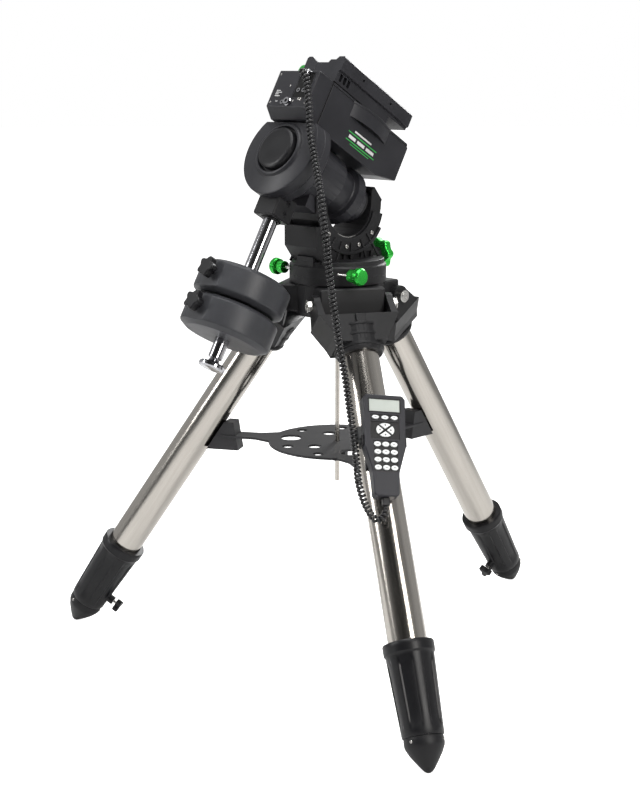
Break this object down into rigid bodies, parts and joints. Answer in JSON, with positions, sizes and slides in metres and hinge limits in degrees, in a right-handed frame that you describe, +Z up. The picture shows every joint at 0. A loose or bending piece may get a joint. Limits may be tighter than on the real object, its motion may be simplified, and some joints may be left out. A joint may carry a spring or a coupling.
{
  "type": "equatorial mount",
  "caption": "Equatorial telescope mount: adjustable altitude and azimuth base, turning polar and declination axes, dovetail saddle, counterweights, folding steel tripod, hand controller.",
  "frame": {"origin": "on the floor, under the middle of the mount's outer box without its cord", "axes": "+Z up; the polar axis points to -Y and up; +X is the side of the declination box that has the drum-shaped cover"},
  "size_m": [1.1326, 1.0648, 1.2957],
  "materials": {
    "black_casting": "satin",
    "charcoal_casting": "satin",
    "black_plastic": "matte",
    "foot_plastic": "matte",
    "tube_steel": "polished",
    "chrome": "polished",
    "green_anodised": "anodised",
    "wheel_brass": "machined",
    "weight_paint": "powder coat",
    "tray_metal": "satin",
    "handset_plastic": "satin",
    "key_rubber": "matte",
    "window_glass": "gloss",
    "cord_rubber": "satin"
  },
  "bodies": {
    "tripod": {"tripod_hub": "black_casting", "center_rod": "tube_steel", "pivot_bolt_a": "chrome", "pivot_bolt_b": "chrome", "pivot_bolt_c": "chrome", "handset_cord": "cord_rubber"},
    "azimuth_head": {"azimuth_base": "black_casting"},
    "right_azimuth_screw": {"azimuth_knob_right": "green_anodised"},
    "left_azimuth_screw": {"azimuth_knob_left": "green_anodised"},
    "altitude_screw": {"altitude_knob": "green_anodised"},
    "altitude_cradle": {"altitude_rocker": "black_casting", "ra_housing": "charcoal_casting", "ra_rear_cap": "black_plastic"},
    "ra_worm_shaft": {"ra_worm": "tube_steel"},
    "polar_head": {"ra_head": "charcoal_casting", "ra_front_cap": "black_plastic", "ra_shaft": "tube_steel", "ra_worm_wheel": "wheel_brass", "shaft_socket": "black_casting", "dec_housing": "charcoal_casting", "dec_lid": "charcoal_casting", "port_box": "charcoal_casting", "power_socket": "chrome", "cord_plug_top": "chrome", "counterweight_shaft": "chrome"},
    "dec_worm_shaft": {"dec_worm": "tube_steel"},
    "saddle": {"dec_shaft": "tube_steel", "dec_worm_wheel": "wheel_brass", "saddle_body": "charcoal_casting"},
    "clamp_jaw": {"saddle_jaw": "charcoal_casting"},
    "jaw_screw": {"saddle_knob": "green_anodised"},
    "weight_1": {"counterweight_1": "weight_paint"},
    "weight_1_screw": {"weight_knob_1": "black_plastic"},
    "weight_2": {"counterweight_2": "weight_paint"},
    "weight_2_screw": {"weight_knob_2": "black_plastic"},
    "toe_saver_end": {"toe_saver": "chrome"},
    "leg_a": {"leg_yoke_a": "black_casting", "leg_tube_a": "tube_steel", "leg_clamp_a": "black_plastic", "handset_case": "handset_plastic", "handset_holder": "black_plastic", "handset_window": "window_glass", "cord_plug_bottom": "black_plastic"},
    "foot_a": {"leg_extension_a": "foot_plastic"},
    "clamp_screw_a": {"clamp_knob_a": "black_plastic"},
    "leg_b": {"leg_yoke_b": "black_casting", "leg_tube_b": "tube_steel", "leg_clamp_b": "black_plastic"},
    "foot_b": {"leg_extension_b": "foot_plastic"},
    "clamp_screw_b": {"clamp_knob_b": "black_plastic"},
    "leg_c": {"leg_yoke_c": "black_casting", "leg_tube_c": "tube_steel", "leg_clamp_c": "black_plastic"},
    "foot_c": {"leg_extension_c": "foot_plastic"},
    "clamp_screw_c": {"clamp_knob_c": "black_plastic"},
    "menu_pad": {"menu_keys": "key_rubber"},
    "arrow_pad": {"arrow_keys": "key_rubber"},
    "number_pad": {"number_keys": "key_rubber"},
    "tray": {"spreader_tray": "tray_metal"},
    "tray_nut": {"spreader_knob": "black_plastic"}
  },
  "joints": [
    {"name": "azimuth_turn", "type": "hinge", "parent": "tripod", "child": "azimuth_head", "pos_m": [0, -0.1162, 0.83], "axis": [0, 0, 1], "range_deg": [-10, 10], "deforming": ["handset_cord"]},
    {"name": "right_azimuth_knob_turn", "type": "hinge", "parent": "azimuth_head", "child": "right_azimuth_screw", "pos_m": [0, -0.1862, 0.857], "axis": [1, 0, 0], "continuous": true},
    {"name": "left_azimuth_knob_turn", "type": "hinge", "parent": "azimuth_head", "child": "left_azimuth_screw", "pos_m": [0, -0.1862, 0.857], "axis": [-1, 0, 0], "continuous": true},
    {"name": "altitude_tilt", "type": "hinge", "parent": "azimuth_head", "child": "altitude_cradle", "pos_m": [0, -0.1242, 0.995], "axis": [-1, 0, 0], "range_deg": [-13, 35], "deforming": ["handset_cord"]},
    {"name": "altitude_knob_turn", "type": "hinge", "parent": "azimuth_head", "child": "altitude_screw", "pos_m": [0.012, -0.1162, 0.88], "axis": [0, 1, 0], "range_deg": [-800, 2150]},
    {"name": "ra_turn", "type": "hinge", "parent": "altitude_cradle", "child": "polar_head", "pos_m": [0, -0.2428, 1.0864], "axis": [0, -0.8625, 0.506], "range_deg": [-100, 100], "deforming": ["handset_cord"]},
    {"name": "ra_worm_turn", "type": "hinge", "parent": "altitude_cradle", "child": "ra_worm_shaft", "pos_m": [0, -0.22481, 1.00442], "axis": [1, 0, 0], "range_deg": [-3700, 3700]},
    {"name": "dec_turn", "type": "hinge", "parent": "polar_head", "child": "saddle", "pos_m": [0, -0.2428, 1.0864], "axis": [0, 0.506, 0.8625], "continuous": true},
    {"name": "dec_worm_turn", "type": "hinge", "parent": "polar_head", "child": "dec_worm_shaft", "pos_m": [0, -0.14547, 1.14756], "axis": [1, 0, 0], "continuous": true},
    {"name": "jaw_knob_turn", "type": "hinge", "parent": "saddle", "child": "jaw_screw", "pos_m": [0, -0.13475, 1.26069], "axis": [1, 0, 0], "range_deg": [-1450, 0]},
    {"name": "jaw_slide", "type": "slide", "parent": "saddle", "child": "clamp_jaw", "axis": [1, 0, 0], "range_m": [-0.008, 0]},
    {"name": "weight_1_slide", "type": "slide", "parent": "polar_head", "child": "weight_1", "axis": [0, 0.506, 0.8625], "range_m": [0, 0.1]},
    {"name": "weight_2_slide", "type": "slide", "parent": "polar_head", "child": "weight_2", "axis": [0, -0.506, -0.8625], "range_m": [0, 0.035]},
    {"name": "weight_1_knob_turn", "type": "hinge", "parent": "weight_1", "child": "weight_1_screw", "pos_m": [0, -0.47895, 0.89336], "axis": [0, -0.8625, 0.506], "continuous": true},
    {"name": "weight_2_knob_turn", "type": "hinge", "parent": "weight_2", "child": "weight_2_screw", "pos_m": [0, -0.51539, 0.83126], "axis": [0, -0.8625, 0.506], "continuous": true},
    {"name": "toe_saver_turn", "type": "hinge", "parent": "polar_head", "child": "toe_saver_end", "pos_m": [0, -0.47052, 0.69827], "axis": [0, -0.506, -0.8625], "continuous": true},
    {"name": "tray_drop", "type": "slide", "parent": "tripod", "child": "tray", "axis": [0, 0, -1], "range_m": [0, 0.2]},
    {"name": "tray_knob_turn", "type": "hinge", "parent": "tray", "child": "tray_nut", "pos_m": [0, -0.1162, 0.455], "axis": [0, 0, 1], "continuous": true},
    {"name": "leg_a_fold", "type": "hinge", "parent": "tripod", "child": "leg_a", "pos_m": [0.09336, -0.1701, 0.795], "axis": [0.5, 0.866, 0], "range_deg": [0, 10.5], "deforming": ["handset_cord"]},
    {"name": "leg_a_slide", "type": "slide", "parent": "leg_a", "child": "foot_a", "axis": [0.483, -0.2789, -0.83], "range_m": [0, 0.35]},
    {"name": "clamp_a_knob_turn", "type": "hinge", "parent": "leg_a", "child": "clamp_screw_a", "pos_m": [0.45746, -0.38032, 0.04741], "axis": [-0.7188, 0.415, -0.5577], "continuous": true},
    {"name": "leg_b_fold", "type": "hinge", "parent": "tripod", "child": "leg_b", "pos_m": [-0.09336, -0.1701, 0.795], "axis": [0.5, -0.866, 0], "range_deg": [0, 10.5]},
    {"name": "leg_b_slide", "type": "slide", "parent": "leg_b", "child": "foot_b", "axis": [-0.483, -0.2789, -0.83], "range_m": [0, 0.35]},
    {"name": "clamp_b_knob_turn", "type": "hinge", "parent": "leg_b", "child": "clamp_screw_b", "pos_m": [-0.45746, -0.38032, 0.04741], "axis": [0.7188, 0.415, -0.5577], "continuous": true},
    {"name": "leg_c_fold", "type": "hinge", "parent": "tripod", "child": "leg_c", "pos_m": [0, -0.0084, 0.795], "axis": [-1, 0, 0], "range_deg": [0, 10.5]},
    {"name": "leg_c_slide", "type": "slide", "parent": "leg_c", "child": "foot_c", "axis": [0, 0.5577, -0.83], "range_m": [0, 0.35]},
    {"name": "clamp_c_knob_turn", "type": "hinge", "parent": "leg_c", "child": "clamp_screw_c", "pos_m": [0, 0.41203, 0.04741], "axis": [0, -0.83, -0.5577], "continuous": true},
    {"name": "menu_keys_press", "type": "slide", "parent": "leg_a", "child": "menu_pad", "axis": [-0.7188, 0.415, -0.5577], "range_m": [0, 0.0008], "stiffness_N_per_m": 800},
    {"name": "arrow_keys_press", "type": "slide", "parent": "leg_a", "child": "arrow_pad", "axis": [-0.7188, 0.415, -0.5577], "range_m": [0, 0.0008], "stiffness_N_per_m": 800},
    {"name": "number_keys_press", "type": "slide", "parent": "leg_a", "child": "number_pad", "axis": [-0.7188, 0.415, -0.5577], "range_m": [0, 0.0008], "stiffness_N_per_m": 800}
  ],
  "couplings": [
    {"joint": "altitude_knob_turn", "follows": "altitude_tilt", "ratio": 60},
    {"joint": "ra_worm_turn", "follows": "ra_turn", "ratio": 36},
    {"joint": "dec_worm_turn", "follows": "dec_turn", "ratio": 36},
    {"joint": "jaw_knob_turn", "follows": "jaw_slide", "rad_per_m": 3141.6},
    {"joint": "leg_a_fold", "follows": "tray_drop", "rad_per_m": 0.87267},
    {"joint": "leg_b_fold", "follows": "tray_drop", "rad_per_m": 0.87267},
    {"joint": "leg_c_fold", "follows": "tray_drop", "rad_per_m": 0.87267}
  ]
}
